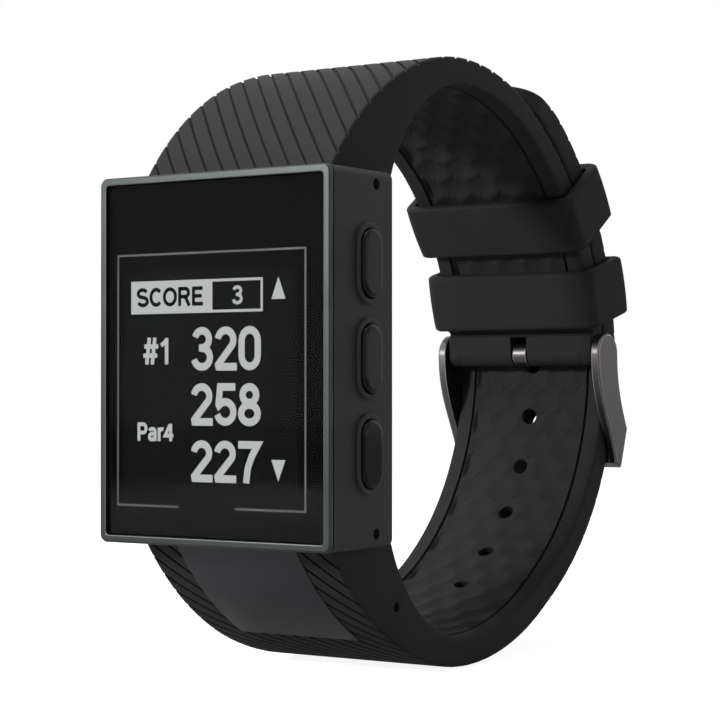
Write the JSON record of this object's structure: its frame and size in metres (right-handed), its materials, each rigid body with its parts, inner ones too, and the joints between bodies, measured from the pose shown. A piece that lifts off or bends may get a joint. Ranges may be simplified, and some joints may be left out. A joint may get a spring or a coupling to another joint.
{
  "type": "golf gps watch",
  "caption": "Rectangular golf distance watch with a display, side push buttons, a ribbed rubber strap, a tang buckle and keeper loops, shown buckled.",
  "frame": {"origin": "centre of the flat back face of the case", "axes": "+X towards the buttons, +Z towards the top of the display, +Y out of the back cover into the strap loop; the display faces -Y"},
  "size_m": [0.0384, 0.0885, 0.0844],
  "materials": {
    "case_plastic": "moulded, fine matt texture",
    "bezel_metal": "satin gunmetal",
    "lens_glass": "clear, polished",
    "mask_print": "black print behind the lens",
    "tape": "adhesive film",
    "panel_glass": "liquid crystal panel",
    "backlight": "light guide",
    "frame_plastic": "moulded",
    "flex_film": "polyimide film",
    "board": "solder mask",
    "screw_steel": "plain",
    "bar_steel": "turned",
    "antenna_ceramic": "fired",
    "can_steel": "tinned",
    "cell_film": "laminated pouch film",
    "foam": "closed-cell foam",
    "switch_body": "moulded",
    "contact_gold": "gold plated",
    "seal_rubber": "smooth",
    "clip_steel": "spring steel",
    "button_plastic": "polished",
    "strap_rubber": "matt silicone rubber",
    "plate_metal": "satin grey",
    "buckle_steel": "satin faces, bright edges"
  },
  "bodies": {
    "watch": {"mid_case": "case_plastic", "back_cover": "case_plastic", "bezel_frame": "bezel_metal", "front_lens": "lens_glass", "lens_mask": "mask_print", "lens_tape": "tape", "lcd_panel": "panel_glass", "backlight_plate": "backlight", "display_frame": "frame_plastic", "display_flex": "flex_film", "battery_flex": "flex_film", "main_board": "board", "switch_board": "board", "back_screws": "screw_steel", "board_screws": "screw_steel", "upper_bar_tube": "bar_steel", "lower_bar_tube": "bar_steel", "buckle_bar_tube": "bar_steel", "plate_pin": "bar_steel", "gps_antenna": "antenna_ceramic", "shield_can": "can_steel", "battery_cell": "cell_film", "battery_front_pad": "foam", "battery_back_pad": "foam", "side_switches": "switch_body", "charging_contacts": "contact_gold", "back_gasket": "seal_rubber", "button_top_seal": "seal_rubber", "button_middle_seal": "seal_rubber", "button_bottom_seal": "seal_rubber", "upper_strap": "strap_rubber", "lower_strap": "strap_rubber", "fixed_keeper": "strap_rubber", "strap_plate": "plate_metal"},
    "top_button": {"button_top": "button_plastic", "button_top_clip": "clip_steel"},
    "middle_button": {"button_middle": "button_plastic", "button_middle_clip": "clip_steel"},
    "bottom_button": {"button_bottom": "button_plastic", "button_bottom_clip": "clip_steel"},
    "buckle": {"buckle_frame": "buckle_steel"},
    "tongue": {"buckle_tongue": "buckle_steel"},
    "sliding_keeper": {"free_keeper": "strap_rubber"},
    "upper_tip_left": {"upper_bar_tip_left": "bar_steel"},
    "upper_tip_right": {"upper_bar_tip_right": "bar_steel"},
    "lower_tip_left": {"lower_bar_tip_left": "bar_steel"},
    "lower_tip_right": {"lower_bar_tip_right": "bar_steel"},
    "buckle_tip_left": {"buckle_bar_tip_left": "bar_steel"},
    "buckle_tip_right": {"buckle_bar_tip_right": "bar_steel"}
  },
  "joints": [
    {"name": "top_button_press", "type": "slide", "parent": "watch", "child": "top_button", "axis": [-1, 0, 0], "range_m": [0, 0.0005], "stiffness_N_per_m": 600},
    {"name": "middle_button_press", "type": "slide", "parent": "watch", "child": "middle_button", "axis": [-1, 0, 0], "range_m": [0, 0.0005], "stiffness_N_per_m": 600},
    {"name": "bottom_button_press", "type": "slide", "parent": "watch", "child": "bottom_button", "axis": [-1, 0, 0], "range_m": [0, 0.0005], "stiffness_N_per_m": 600},
    {"name": "buckle_swing", "type": "hinge", "parent": "watch", "child": "buckle", "pos_m": [0, 0.06578, 0.00162], "axis": [1, 0, 0], "range_deg": [-0.8, 2.5]},
    {"name": "tongue_lift", "type": "hinge", "parent": "buckle", "child": "tongue", "pos_m": [0, 0.06578, 0.00162], "axis": [1, 0, 0], "range_deg": [0, 2]},
    {"name": "keeper_slide", "type": "hinge", "parent": "watch", "child": "sliding_keeper", "pos_m": [0, 0.02551, 0], "axis": [1, 0, 0], "range_deg": [-4, 16]},
    {"name": "upper_bar_left_press", "type": "slide", "parent": "watch", "child": "upper_tip_left", "axis": [1, 0, 0], "range_m": [0, 0.0018], "stiffness_N_per_m": 300},
    {"name": "upper_bar_right_press", "type": "slide", "parent": "watch", "child": "upper_tip_right", "axis": [-1, 0, 0], "range_m": [0, 0.0018], "stiffness_N_per_m": 300},
    {"name": "lower_bar_left_press", "type": "slide", "parent": "watch", "child": "lower_tip_left", "axis": [1, 0, 0], "range_m": [0, 0.0018], "stiffness_N_per_m": 300},
    {"name": "lower_bar_right_press", "type": "slide", "parent": "watch", "child": "lower_tip_right", "axis": [-1, 0, 0], "range_m": [0, 0.0018], "stiffness_N_per_m": 300},
    {"name": "buckle_bar_left_press", "type": "slide", "parent": "watch", "child": "buckle_tip_left", "axis": [1, 0, 0], "range_m": [0, 0.001], "stiffness_N_per_m": 300},
    {"name": "buckle_bar_right_press", "type": "slide", "parent": "watch", "child": "buckle_tip_right", "axis": [-1, 0, 0], "range_m": [0, 0.001], "stiffness_N_per_m": 300}
  ]
}
